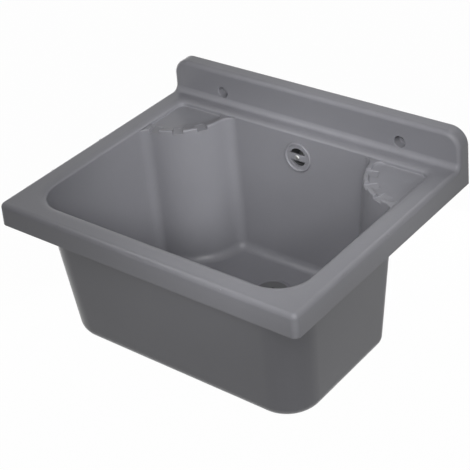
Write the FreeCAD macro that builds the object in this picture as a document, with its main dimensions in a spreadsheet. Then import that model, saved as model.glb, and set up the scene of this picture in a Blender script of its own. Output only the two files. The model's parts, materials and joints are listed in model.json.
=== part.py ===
import FreeCAD, Part
import math
import os
import re
import Sketcher

# Wall mount utility sink: a moulded plastic basin with an upstand, two corner soap ledges,
# an overflow in the back wall and a waste below the floor. Millimetres, +Z up, +Y to the wall.
# The origin lies on the wall plane, midway between the two wall fixing holes.

SIZES = [
    # Rim and upstand
    ("rim_width", 550, "width of the rim at the foot of the skirt"),
    ("rim_depth", 445, "wall plane to the front of the skirt"),
    ("skirt_height", 37, "rim top to the foot of the skirt"),
    ("skirt_draft", 1.5, "lean of the skirt and of the upstand's ends, degrees"),
    ("wall", 5, "wall of the moulding"),
    ("rim_edge", 8, "round along the outer edge of rim and upstand"),
    ("rim_corner", 10, "upright round at the rim's front corners"),
    ("upstand_height", 56.5, "rim top to the top of the upstand"),
    ("upstand_thickness", 25, "wall plane to the upstand's front"),
    ("upstand_corner", 28, "round at the upstand's top corners"),
    ("upstand_cove", 10, "hollow round at the upstand's foot"),
    ("fixing_spacing", 340, "between the two wall fixing holes"),
    ("fixing_height", 18, "rim top to the fixing holes"),
    ("fixing_hole", 4.5, "radius of a fixing hole"),
    ("fixing_recess", 9.5, "radius of the recess for a fixing's head"),
    ("fixing_recess_depth", 13.5, "depth of that recess"),
    ("fixing_boss_wall", 5, "wall of the boss round that recess"),
    ("rib", 3, "thickness of the ribs behind the upstand and below the rim"),
    ("rib_setback", 3, "wall plane to the edge of the ribs"),
    ("rib_spacing", 170, "between the ribs behind the upstand"),
    ("web_gap", 11, "foot of the skirt to the foot of the webs"),
    ("front_web_spacing", 150, "between the webs of the front rim"),
    ("side_web_gap", 50, "soap ledge to the first web of a side rim"),
    ("side_web_spacing", 110, "between the webs of a side rim"),
    # Bowl and soap ledges
    ("side_land", 37, "width of a side rim"),
    ("front_land", 37, "width of the front rim"),
    ("back_strip", 27, "upstand to the bowl's back edge"),
    ("bowl_depth", 245.5, "rim top to the bowl's floor"),
    ("bowl_draft", 4, "lean of the bowl's walls, degrees"),
    ("front_corner", 52.5, "round of the bowl's front corners"),
    ("back_corner", 14, "round of the opening's back corners"),
    ("floor_round", 18, "round between the floor and the walls"),
    ("opening_roll", 14, "width of the rolled edge round the opening"),
    ("ledge_radius", 97, "reach of a soap ledge from its corner"),
    ("ledge_cove", 19, "hollow round beside a soap ledge"),
    ("lip_drop", 5.5, "rim top to the top of a ledge's lip and to the foot of the rolled edge"),
    ("lip_height", 6.5, "height of the lip above the ledge's floor"),
    ("lip_width", 8, "width of a ledge's lip"),
    ("lip_round", 2.5, "round along both edges of the lip"),
    ("tray_corner", 12, "round where the lip meets the walls"),
    ("tray_dish", 26, "width of the slope down to a ledge's floor"),
    ("notch_width", 17, "width of a drain notch in the lip"),
    ("notch_sill", 0.6, "height of a notch above the ledge's floor"),
    ("notch_pitch", 24, "between the notches of a ledge, degrees"),
    ("notch_middle_left", 55, "middle notch of the left ledge, degrees from the back wall"),
    ("notch_middle_right", 46, "middle notch of the right ledge, degrees from the back wall"),
    # Strainer
    ("drain_from_wall", 152, "wall plane to the drain's axis"),
    ("drain_recess", 4, "depth of the recess for the strainer flange"),
    ("drain_boss_wall", 5.4, "wall of the boss round that recess"),
    ("throat_radius", 26.5, "outside of the strainer's throat"),
    ("throat_wall", 4, "wall of the throat below the plug's seat"),
    ("throat_depth", 15, "floor to the foot of the throat"),
    ("throat_clearance", 0.8, "throat to the hole in the basin"),
    ("flange_width", 6.5, "throat to the edge of the flange"),
    ("flange_clearance", 0.6, "flange to the side of its recess"),
    ("flange_rise", 1, "flange top above the floor"),
    ("flange_bevel", 4, "width of the flange's sloping edge"),
    ("seat_flare", 5, "widening of the plug's conical seat"),
    ("seat_depth", 8, "floor to the foot of the seat"),
    ("bar_width", 4, "width of the strainer's bars and of the waste body's spokes"),
    ("bar_height", 3, "height of the strainer's bars"),
    ("hub_radius", 8.5, "radius of the strainer's hub"),
    ("hub_height", 3.5, "height of the strainer's hub"),
    ("strainer_gasket_height", 2, "thickness of the gasket below the flange"),
    ("gasket_inset", 1.5, "edge of a gasket inside the flange that it seals"),
    ("screw_radius", 3, "shank of the strainer screw"),
    ("screw_head_radius", 6, "head of the strainer screw"),
    ("screw_head_height", 3, "height of that head"),
    ("screw_slot", 1.4, "width and depth of the slot in a screw's head"),
    ("screw_end", 1, "end of a screw past its insert"),
    ("screw_clearance", 0.3, "screw to the hole that it passes"),
    ("thread_clearance", 0.05, "screw to the insert that it turns in"),
    # Waste body
    ("waste_gasket_height", 3, "thickness of the gasket below the basin"),
    ("waste_flange_width", 5, "cup to the edge of the waste body's flange"),
    ("waste_flange_height", 3.5, "thickness of that flange"),
    ("cup_room", 3, "throat to the inside of the cup"),
    ("waste_wall", 2.5, "wall of the cup"),
    ("cup_floor", 4, "overflow inlet to the foot of the cup"),
    ("cup_taper", 6, "height of the cone below the cup"),
    ("tail_radius", 23.9, "outside of the threaded tail"),
    ("tail_wall", 3.4, "wall of the tail"),
    ("tail_length", 26, "length of the tail"),
    ("insert_radius", 6.5, "radius of the waste insert"),
    ("insert_height", 9, "height of the waste insert"),
    ("insert_cover", 5, "hub above the waste insert"),
    ("insert_setback", 4, "waste insert to the foot of the hub"),
    ("insert_clearance", 0.05, "an insert to its pocket"),
    ("waste_hub_wall", 3, "wall of the hub round the waste insert"),
    ("waste_hub_gap", 5, "strainer to the top of the hub"),
    ("spoke_height", 8, "height of the spokes that carry the hub"),
    ("inlet_drop", 22, "top of the waste body to the axis of the overflow inlet"),
    ("inlet_room", 1, "cup to the nut on the inlet"),
    # Plug and its ring
    ("seat_clearance", 0.3, "plug to its seat"),
    ("plug_clearance", 1.5, "plug to the strainer screw"),
    ("plug_edge", 0.5, "edge of the plug above the flange"),
    ("plug_crown", 1.2, "middle of the plug above its edge"),
    ("plug_pad", 8, "radius of the flat top of the plug"),
    ("eye_width", 8, "width of the plug's eye"),
    ("eye_thickness", 3.4, "thickness of the plug's eye"),
    ("eye_height", 3, "plug top to the eye's hole"),
    ("ring_radius", 10.5, "middle radius of the pull ring"),
    ("ring_wire", 1.2, "radius of the pull ring's wire"),
    ("ring_play", 0.7, "pull ring to the eye's hole"),
    ("ring_rest", 0.5, "pull ring above the plug at rest"),
    # Overflow
    ("overflow_drop", 41, "rim top to the overflow's axis"),
    ("rosette_radius", 25, "radius of the rosette"),
    ("rosette_bead", 2.2, "radius of the rosette's rim bead"),
    ("rosette_plate", 3.4, "thickness of the rosette's middle"),
    ("rosette_pad", 5.6, "radius of the flat below the screw's head"),
    ("rosette_cover", 5.6, "rosette's edge to the outside of its collar"),
    ("collar_wall", 2, "wall of the rosette's collar"),
    ("collar_clearance", 0.6, "collar to the hole in the back wall"),
    ("slot_inset", 1.9, "collar to the D slots"),
    ("slot_bar", 11, "height of the bar between the D slots"),
    ("overflow_screw_radius", 2.5, "shank of the overflow screw"),
    ("overflow_head_radius", 4.6, "head of the overflow screw"),
    ("overflow_head_edge", 0.9, "straight edge of that head"),
    ("overflow_head_crown", 1.3, "crown of that head"),
    ("overflow_head_flat", 3, "radius of the flat on top of that head"),
    ("overflow_gasket_height", 2, "thickness of the gasket behind the back wall"),
    ("elbow_flange_width", 5, "wall hole to the edge of the elbow's flange"),
    ("elbow_flange_height", 3, "thickness of that flange"),
    ("elbow_inset", 1, "wall hole to the outside of the elbow's cup"),
    ("elbow_wall", 2.2, "wall of the elbow"),
    ("elbow_hub_wall", 2, "wall of the hub round the overflow insert"),
    ("elbow_hub_setback", 3, "front of the elbow to the front of its hub"),
    ("overflow_insert_radius", 4.4, "radius of the overflow insert"),
    ("overflow_insert_height", 8, "height of the overflow insert"),
    ("overflow_insert_cover", 3, "hub in front of the overflow insert"),
    ("spout_room", 3.5, "basin's back to the nut on the spout"),
    ("spout_gap", 3, "elbow's flange to the nut on the spout"),
    # Hose and its unions
    ("union_radius", 11, "thread of the spout and of the overflow inlet"),
    ("union_bore", 7.5, "bore of spout, inlet and hose"),
    ("seal_height", 2, "thickness of a union seal"),
    ("cuff_collar", 3, "thickness of the collar on a hose end"),
    ("cuff_wall", 1.7, "wall of the hose's plain ends"),
    ("cuff_length", 10, "plain end of the hose from its collar's face"),
    ("rib_wall", 1.8, "wall of the hose between its ribs"),
    ("rib_height", 1.7, "height of the hose's ribs"),
    ("rib_pitch", 5, "between the hose's ribs"),
    ("nut_wall", 2.85, "wall of a union nut"),
    ("nut_grip", 1, "height of a union nut's grips"),
    ("nut_grip_width", 3, "width of a union nut's grips"),
    ("nut_skirt", 9, "nut over the thread"),
    ("nut_end", 3, "end wall of a union nut"),
    ("nut_clearance", 0.15, "nut to the thread and to the hose"),
]
NOTCHES = 3
NUT_GRIPS = 12
# Share of a rib's pitch at which each of its circles stands, and whether the circle is on the crest
RIB_CIRCLES = ((0.0, False), (0.25, False), (0.45, True), (0.8, True))
# Strips that make up the rolled edge, a lip's round and a ledge's hollow round
ROLL_STEPS = 6
LIP_STEPS = 3
DISH_STEPS = 5

# Sizes that follow from the driving ones
OPENING_WIDTH = "(rim_width - 2 * side_land)"
BACK_LAND = "(upstand_thickness + back_strip)"
LEDGE_DEPTH = "(lip_drop + lip_height)"
DISH_WIDTH = "min(tray_dish; 0.3 * (ledge_radius - lip_width))"
NOTCH_START = f"(ledge_radius - lip_width - {DISH_WIDTH} / 2)"
RECESS_DEPTH = "min(fixing_recess_depth; upstand_thickness - wall)"
WEB_DROP = "(skirt_height - web_gap)"
FLANGE_RADIUS = "(throat_radius + flange_width)"
DRAIN_HOLE = "(throat_radius + throat_clearance)"
THROAT_BORE = "(throat_radius - throat_wall)"
SEAT_RADIUS = f"({THROAT_BORE} + seat_flare)"
HUB_TOP = "(throat_depth - hub_height)"
WASTE_TOP = "(drain_recess + wall + waste_gasket_height)"
CUP_BORE = "(throat_radius + cup_room)"
CUP_RADIUS = f"({CUP_BORE} + waste_wall)"
INLET_DROP = f"({WASTE_TOP} + inlet_drop)"
CUP_FOOT = f"({INLET_DROP} + union_radius + cup_floor)"
TAIL_TOP = f"({CUP_FOOT} + cup_taper)"
TAIL_FOOT = f"({TAIL_TOP} + tail_length)"
WASTE_HUB = "(insert_radius + insert_clearance + waste_hub_wall)"
WASTE_HUB_TOP = "(throat_depth + waste_hub_gap)"
INSERT_TOP = f"({WASTE_HUB_TOP} + insert_cover)"
WASTE_HUB_FOOT = f"({INSERT_TOP} + insert_height + insert_setback)"
INLET_REACH = f"({CUP_RADIUS} + inlet_room + nut_skirt)"
PLUG_FOOT = f"({HUB_TOP} - screw_head_height - plug_clearance)"
PLUG_EDGE = "(flange_rise + plug_edge)"
PLUG_TOP = f"({PLUG_EDGE} + plug_crown)"
EYE_HOLE = "(ring_wire + ring_play)"
RING_DIP = "asin((eye_height - ring_wire - ring_rest) / (2 * ring_radius)) / 1 deg"
COLLAR_RADIUS = "(rosette_radius - rosette_cover)"
COLLAR_BORE = f"({COLLAR_RADIUS} - collar_wall)"
OVERFLOW_HOLE = f"({COLLAR_RADIUS} + collar_clearance)"
SLOT_RADIUS = f"({COLLAR_BORE} - slot_inset)"
BACK_FACE = "(wall * cos(bowl_draft * 1 deg))"
ELBOW_FRONT = f"({BACK_FACE} + overflow_gasket_height)"
ELBOW_FLANGE = f"({OVERFLOW_HOLE} + elbow_flange_width)"
ELBOW_RADIUS = f"({OVERFLOW_HOLE} - elbow_inset)"
NUT_RADIUS = "(union_radius + nut_clearance + nut_wall)"
SPOUT_DEPTH = f"({BACK_FACE} + spout_room + {NUT_RADIUS} + nut_grip)"
SPOUT_REACH = f"({ELBOW_FLANGE} + spout_gap + nut_skirt)"
ELBOW_BACK = f"({SPOUT_DEPTH} + union_radius + elbow_wall)"
ELBOW_HUB = "(overflow_insert_radius + insert_clearance + elbow_hub_wall)"
ELBOW_HUB_FRONT = f"({ELBOW_FRONT} + elbow_hub_setback)"
OVERFLOW_INSERT_FRONT = f"({ELBOW_HUB_FRONT} + overflow_insert_cover)"
CUFF_RADIUS = "(union_bore + cuff_wall)"
NUT_SEAT = "(seal_height + cuff_collar)"
OVERFLOW_Y = f"(-{BACK_LAND} - overflow_drop * tan(bowl_draft * 1 deg))"

doc = FreeCAD.newDocument("utility_sink")
sheet = doc.addObject("Spreadsheet::Sheet", "Sizes")
for row, (alias, size, note) in enumerate(SIZES, 1):
    sheet.set(f"A{row}", alias)
    sheet.set(f"B{row}", str(size))
    sheet.setAlias(f"B{row}", alias)
    sheet.set(f"C{row}", note)
doc.recompute()
ALIASES = re.compile(r"\b(" + "|".join(alias for alias, size, note in SIZES) + r")\b")
X_AXIS = FreeCAD.Vector(1, 0, 0)
Y_AXIS = FreeCAD.Vector(0, 1, 0)
Z_AXIS = FreeCAD.Vector(0, 0, 1)
pieces = []


def number(expression):
    """The value of an expression in the sheet's aliases."""
    return float(sheet.evalExpression(expression))


def linked(expression):
    """The same expression as other objects read it."""
    return ALIASES.sub(r"Sizes.\1", expression)


def bind(item, target, expression):
    item.setExpression(target, linked(expression))


def place(item, x="0", y="0", z="0", axis=Z_AXIS, angle="0"):
    """Put an object at a point, turned about one axis, all from the sheet."""
    spot = FreeCAD.Vector(number(x), number(y), number(z))
    item.Placement = FreeCAD.Placement(spot, FreeCAD.Rotation(axis, number(angle)))
    for letter, expression in (("x", x), ("y", y), ("z", z)):
        bind(item, f"Placement.Base.{letter}", expression)
    if angle != "0":
        bind(item, "Placement.Rotation.Angle", f"({angle}) * 1 deg")


def new_piece(label):
    body = doc.addObject("PartDesign::Body", label)
    body.Label = label
    pieces.append(body)
    return body


def outline(body, name, role, corners, level="0"):
    """A closed sketch on an origin plane. A corner is x, y, and for an arc to the next corner also
    its radius and its centre's x, y. Every corner and radius is driven by the sheet."""
    sketch = body.newObject("Sketcher::SketchObject", name)
    plane = next(item for item in body.Origin.OriginFeatures if item.Role == role)
    sketch.AttachmentSupport = [(plane, "")]
    sketch.MapMode = "FlatFace"
    bind(sketch, "AttachmentOffset.Base.z", level)
    points = [FreeCAD.Vector(number(corner[0]), number(corner[1]), 0) for corner in corners]
    count = len(corners)
    ends = []
    for index, corner in enumerate(corners):
        start = points[index]
        finish = points[(index + 1) % count]
        if len(corner) == 2:
            sketch.addGeometry(Part.LineSegment(start, finish))
            ends.append((1, 2))
            continue
        radius, middle_x, middle_y = (number(expression) for expression in corner[2:])
        first = math.atan2(start.y - middle_y, start.x - middle_x)
        last = math.atan2(finish.y - middle_y, finish.x - middle_x)
        forward = (last - first) % (2 * math.pi) <= math.pi
        circle = Part.Circle(FreeCAD.Vector(middle_x, middle_y, 0), Z_AXIS, radius)
        sketch.addGeometry(Part.ArcOfCircle(circle, *((first, last) if forward else (last, first))))
        ends.append((1, 2) if forward else (2, 1))
    for index in range(count):
        after = (index + 1) % count
        sketch.addConstraint(
            Sketcher.Constraint("Coincident", index, ends[index][1], after, ends[after][0]))
    for index, corner in enumerate(corners):
        start = ends[index][0]
        for kind, axis, expression in (("DistanceX", -2, corner[0]), ("DistanceY", -1, corner[1])):
            if expression == "0":
                sketch.addConstraint(Sketcher.Constraint("PointOnObject", index, start, axis))
                continue
            size = number(expression)
            added = sketch.addConstraint(Sketcher.Constraint(kind, -1, 1, index, start, size))
            bind(sketch, f"Constraints[{added}]", expression)
        if len(corner) > 2:
            size = number(corner[2])
            added = sketch.addConstraint(Sketcher.Constraint("Radius", index, size))
            bind(sketch, f"Constraints[{added}]", corner[2])
    return sketch


def feature(body, kind, name, sketch=None, **sizes):
    """A feature of a body, with its sizes bound to the sheet."""
    made = body.newObject("PartDesign::" + kind, name)
    if sketch is not None:
        made.Profile = sketch
    for size, expression in sizes.items():
        setattr(made, size, number(expression))
        bind(made, size, expression)
    return made


def turned(body, name, corners, kind="Revolution"):
    """A ring or disc turned about the body's Z axis from a radius and height section."""
    sketch = outline(body, name + "_section", "XZ_Plane", corners)
    turn = feature(body, kind, name, sketch)
    turn.ReferenceAxis = (sketch, ["V_Axis"])
    turn.Angle = 360
    return turn


def hollowed(body, name, corners):
    """A hollow turned out of the body in the same way."""
    return turned(body, name, corners, "Groove")


def cylinder(body, kind, name, radius, height, **where):
    made = feature(body, kind + "Cylinder", name, Radius=radius, Height=height)
    made.Refine = False
    place(made, **where)
    return made


def box(body, kind, name, length, width, height, **where):
    made = feature(body, kind + "Box", name, Length=length, Width=width, Height=height)
    made.Refine = False
    place(made, **where)
    return made


def loft(body, kind, name, sketches):
    made = feature(body, kind + "Loft", name, sketches[0])
    made.Sections = sketches[1:]
    made.Ruled = True
    doc.recompute()
    return made


def rounded(body, name, radius, test):
    """A fillet along every edge of the body so far whose box passes the test."""
    doc.recompute()
    base = body.Tip
    edges = [f"Edge{index}" for index, edge in enumerate(base.Shape.Edges, 1) if test(edge.BoundBox)]
    fillet = feature(body, "Fillet", name, Radius=radius)
    fillet.Base = (base, edges)
    doc.recompute()
    return fillet


def near(value, target):
    return abs(value - target) < 0.001


def level_at(bounds, height):
    return near(bounds.ZMin, height) and near(bounds.ZMax, height)


def quarter(first, second, share):
    """How far a quarter ellipse has gone where it has turned by a share of its right angle.
    It sets out along its first half axis and ends along its second."""
    sine = round(math.sin(share * math.pi / 2), 6)
    cosine = round(math.cos(share * math.pi / 2), 6)
    size = f"sqrt(({sine} * {first}) ^ 2 + ({cosine} * {second}) ^ 2)"
    return f"({sine} * {first} ^ 2 / {size})", f"({second} - {cosine} * {second} ^ 2 / {size})"


# Basin
# Its own zero is the rim top, so its placement drops it by the height of the fixing holes.

def wall_lines(depth, grow):
    """The bowl's walls at a depth below the rim, moved outwards by grow."""
    lean = f"({depth}) * tan(bowl_draft * 1 deg)"
    side = f"({OPENING_WIDTH} / 2 - {lean} + {grow})"
    front = f"(front_land - rim_depth + {lean} - {grow})"
    back = f"(-{BACK_LAND} - {lean} + {grow})"
    return side, front, back


def opening_outline(body, name, depth, grow):
    """The rounded rectangle above the ledges."""
    side, front, back = wall_lines(depth, grow)
    front_round = f"(front_corner + {grow})"
    back_round = f"(back_corner + {grow})"
    front_x = f"({side} - {front_round})"
    front_y = f"({front} + {front_round})"
    back_x = f"({side} - {back_round})"
    back_y = f"({back} - {back_round})"
    corners = [
        (f"-{front_x}", front),
        (front_x, front, front_round, front_x, front_y),
        (side, front_y),
        (side, back_y, back_round, back_x, back_y),
        (back_x, back),
        (f"-{back_x}", back, back_round, f"-{back_x}", back_y),
        (f"-{side}", back_y),
        (f"-{side}", front_y, front_round, f"-{front_x}", front_y),
    ]
    return outline(body, name, "XY_Plane", corners, f"-({depth})")


def bowl_outline(body, name, depth, grow, ease="0"):
    """The bowl with a ledge's quarter round in each back corner and a hollow round beside it.
    Ease takes from the ledge's reach, for the round of its lip."""
    side, front, back = wall_lines(depth, grow)
    corner_x, unused, corner_y = wall_lines(depth, "0")
    reach = f"(ledge_radius - {ease})"
    across = f"sqrt({reach} * {reach} + 2 * {reach} * ledge_cove)"
    share = f"(({reach} - {grow}) / ({reach} + ledge_cove))"
    front_round = f"(front_corner + {grow})"
    cove = f"(ledge_cove + {grow})"
    front_x = f"({side} - {front_round})"
    front_y = f"({front} + {front_round})"
    cove_y = f"({corner_y} - {across})"
    cove_x = f"({corner_x} - {across})"
    near_x = f"({corner_x} - ledge_cove * {share})"
    near_y = f"({corner_y} - {across} * {share})"
    far_x = f"({corner_x} - {across} * {share})"
    far_y = f"({corner_y} - ledge_cove * {share})"
    arc_front = (front_round, front_x, front_y)
    arc_side = (cove, f"({corner_x} - ledge_cove)", cove_y)
    arc_ledge = (f"({reach} - {grow})", corner_x, corner_y)
    arc_back = (cove, cove_x, f"({corner_y} - ledge_cove)")
    points = [(front_x, front), (side, front_y), (side, cove_y), (near_x, near_y), (far_x, far_y),
              (cove_x, back)]
    arcs = [arc_front, None, arc_side, arc_ledge, arc_back]
    right = [point + (arc or ()) for point, arc in zip(points, arcs + [None])]
    left = []
    for point, arc in zip(reversed(points), list(reversed(arcs)) + [None]):
        mirrored = (arc[0], f"-{arc[1]}", arc[2]) if arc else ()
        left.append((f"-{point[0]}", point[1]) + mirrored)
    return outline(body, name, "XY_Plane", right + left, f"-({depth})")


def tray_outline(body, name, sign, depth, ease="0", inset="0"):
    """The tray of a soap ledge inside its lip, in the corner on one side.
    Ease adds to its reach, for the round of the lip, and inset draws it in on all sides, with
    smaller rounds in its corners."""
    corner_x, unused, corner_y = wall_lines(depth, "0")
    smaller = f"(1 - {inset} / (2 * {DISH_WIDTH}))"
    back_round = f"(back_corner * {smaller})"
    end_round = f"(tray_corner * {smaller})"
    reach = f"(ledge_radius - lip_width + {ease} - {inset})"
    inner = f"({reach} - {end_round})"
    off = f"({inset} + {end_round})"
    across = f"sqrt({inner} * {inner} - {off} * {off})"
    share = f"({reach} / {inner})"
    back_off = f"({inset} + {back_round})"
    back_arc = (back_round, f"{sign}({corner_x} - {back_off})", f"({corner_y} - {back_off})")
    side_arc = (end_round, f"{sign}({corner_x} - {off})", f"({corner_y} - {across})")
    lip_arc = (reach, f"{sign}{corner_x}", corner_y)
    wall_arc = (end_round, f"{sign}({corner_x} - {across})", f"({corner_y} - {off})")
    side = f"{sign}({corner_x} - {inset})"
    back = f"({corner_y} - {inset})"
    corners = [
        (f"{sign}({corner_x} - {across})", back),
        (f"{sign}({corner_x} - {back_off})", back) + back_arc,
        (side, f"({corner_y} - {back_off})"),
        (side, f"({corner_y} - {across})") + side_arc,
        (f"{sign}({corner_x} - {off} * {share})", f"({corner_y} - {across} * {share})") + lip_arc,
        (f"{sign}({corner_x} - {across} * {share})", f"({corner_y} - {off} * {share})") + wall_arc,
    ]
    return outline(body, name, "XY_Plane", corners, f"-({depth})")


def rim_outside(body):
    """The outside of the rim and upstand."""
    corners = [
        ("0", "upstand_height"),
        ("-upstand_thickness", "upstand_height"),
        ("-upstand_thickness", "0"),
        ("-rim_depth", "0"),
        ("-rim_depth", "-skirt_height"),
        ("0", "-skirt_height"),
    ]
    block = feature(body, "Pad", "rim_block", outline(body, "rim_side", "YZ_Plane", corners),
                    Length="rim_width")
    block.Midplane = True
    doc.recompute()
    half = number("rim_width / 2")
    front = -number("rim_depth")
    foot = -number("skirt_height")
    leaning = []
    neutral = []
    for index, face in enumerate(block.Shape.Faces, 1):
        bounds = face.BoundBox
        if near(abs(bounds.XMin), half) and bounds.XLength < 1 or near(bounds.YMax, front):
            leaning.append(f"Face{index}")
        if level_at(bounds, foot):
            neutral.append(f"Face{index}")
    lean = feature(body, "Draft", "skirt_lean", Angle="skirt_draft")
    lean.Base = (block, leaning)
    lean.NeutralPlane = (block, neutral)
    doc.recompute()
    lean.touch()
    top = number("upstand_height")
    rounded(body, "upstand_corners", "upstand_corner",
            lambda bounds: level_at(bounds, top) and bounds.XLength < 1)
    slope = number("skirt_height * tan(skirt_draft * 1 deg)") + 0.001
    rounded(body, "rim_corners", "rim_corner",
            lambda bounds: bounds.YMax < front + slope and near(bounds.ZMin, foot) and near(bounds.ZMax, 0))
    fold = -number("upstand_thickness")
    rounded(body, "upstand_foot", "upstand_cove",
            lambda bounds: level_at(bounds, 0) and near(bounds.YMin, fold) and near(bounds.YMax, fold))
    rounded(body, "rim_outer_edge", "min(rim_edge; 0.9 * rim_corner)",
            lambda bounds: level_at(bounds, 0) and bounds.YMax < front + slope and bounds.XLength > half)


def rim_hollow(body):
    """The hollow of the rim, open below, and of the upstand, open at the wall."""
    sketches = []
    for name, drop in (("foot", "skirt_height"), ("top", "wall")):
        lean = f"(skirt_height - {drop}) * tan(skirt_draft * 1 deg)"
        side = f"(rim_width / 2 - wall - {lean})"
        front = f"(wall - rim_depth + {lean})"
        corner = "(rim_corner - wall / 2)"
        corners = [
            (f"-({side} - {corner})", front),
            (f"({side} - {corner})", front, corner, f"({side} - {corner})", f"({front} + {corner})"),
            (side, f"({front} + {corner})"),
            (side, "wall"),
            (f"-{side}", "wall"),
            (f"-{side}", f"({front} + {corner})", corner, f"-({side} - {corner})", f"({front} + {corner})"),
        ]
        sketches.append(outline(body, f"rim_hollow_{name}", "XY_Plane", corners, f"-{drop}"))
    loft(body, "Subtractive", "rim_hollow", sketches)
    tilt = "(skirt_draft * 1 deg)"
    corner = "(upstand_corner - wall)"
    middle_z = f"(upstand_height - wall - {corner})"
    middle_x = f"(rim_width / 2 - wall - ({middle_z} + skirt_height) * tan{tilt} - {corner} / cos{tilt})"
    side_x = f"({middle_x} + {corner} * cos{tilt})"
    side_z = f"({middle_z} + {corner} * sin{tilt})"
    foot_x = "(rim_width / 2 - wall)"
    corners = [
        (f"-{foot_x}", "-skirt_height"),
        (foot_x, "-skirt_height"),
        (side_x, side_z, corner, middle_x, middle_z),
        (middle_x, "upstand_height - wall"),
        (f"-{middle_x}", "upstand_height - wall", corner, f"-{middle_x}", middle_z),
        (f"-{side_x}", side_z),
    ]
    hollow = outline(body, "upstand_hollow_outline", "XZ_Plane", corners)
    cut = feature(body, "Pocket", "upstand_hollow", hollow, Length="upstand_thickness - wall")
    cut.Reversed = True
    doc.recompute()


def rim_ribs(body):
    """Bosses round the fixing holes, ribs behind the upstand and webs below the rim."""
    web_height = f"{WEB_DROP} - wall / 2"
    first_web = f"({BACK_LAND} + ledge_radius + ledge_cove + side_web_gap)"
    for side, sign in (("left", "-"), ("right", "")):
        cylinder(body, "Additive", f"fixing_boss_{side}", "fixing_recess + fixing_boss_wall",
                 "upstand_thickness - wall / 2",
                 x=f"{sign}fixing_spacing / 2", z="fixing_height", axis=X_AXIS, angle="90")
        box(body, "Additive", f"upstand_rib_{side}", "rib", "upstand_thickness - wall / 2 - rib_setback",
            "upstand_height", x=f"{sign}rib_spacing / 2 - rib / 2",
            y="wall / 2 - upstand_thickness", z="-wall / 2")
        for turn in range(2):
            box(body, "Additive", f"side_web_{side}_{turn}", "side_land", "rib", web_height,
                x=f"{OPENING_WIDTH} / 2 - wall / 2" if side == "right" else "wall / 2 - rim_width / 2",
                y=f"-{first_web} - {turn} * side_web_spacing - rib / 2", z=f"-{WEB_DROP}")
    for turn in (-1, 0, 1):
        box(body, "Additive", f"front_web_{turn + 1}", "rib", "front_land", web_height,
            x=f"{turn} * front_web_spacing - rib / 2", y="wall / 2 - rim_depth", z=f"-{WEB_DROP}")


def ledge_notches(body, side, sign, middle):
    """Drain notches from a ledge's floor across its lip."""
    corner_x, unused, corner_y = wall_lines("lip_drop", "0")
    for turn in range(NOTCHES):
        angle = f"({middle} + {turn - NOTCHES // 2} * notch_pitch)"
        heading = f"180 + {angle}" if side == "right" else f"-{angle}"
        swing = f"({heading}) * 1 deg"
        box(body, "Subtractive", f"notch_{side}_{turn}", f"ledge_radius + 2 * lip_round - {NOTCH_START}",
            "notch_width", f"{LEDGE_DEPTH} - notch_sill",
            x=f"{sign}{corner_x} + {NOTCH_START} * cos({swing}) + notch_width / 2 * sin({swing})",
            y=f"{corner_y} + {NOTCH_START} * sin({swing}) - notch_width / 2 * cos({swing})",
            z=f"notch_sill - {LEDGE_DEPTH}", axis=Z_AXIS, angle=heading)


def soap_ledge(body, side, sign, middle):
    """The tray inside a ledge's lip, dished down to its floor, and the notches that drain it."""
    sections = []
    for step in range(LIP_STEPS + 1):
        inward, drop = quarter("lip_round", "lip_round", step / LIP_STEPS)
        sections.append(tray_outline(body, f"tray_{side}_lip_{step}", sign, f"(lip_drop + {drop})",
                                     f"(lip_round - {inward})"))
    for step in range(1, DISH_STEPS + 1):
        drop, inward = quarter("(lip_height - lip_round)", DISH_WIDTH, step / DISH_STEPS)
        sections.append(tray_outline(body, f"tray_{side}_dish_{step}", sign,
                                     f"(lip_drop + lip_round + {drop})", inset=inward))
    loft(body, "Subtractive", f"tray_{side}", sections)
    ledge_notches(body, side, sign, middle)


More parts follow.
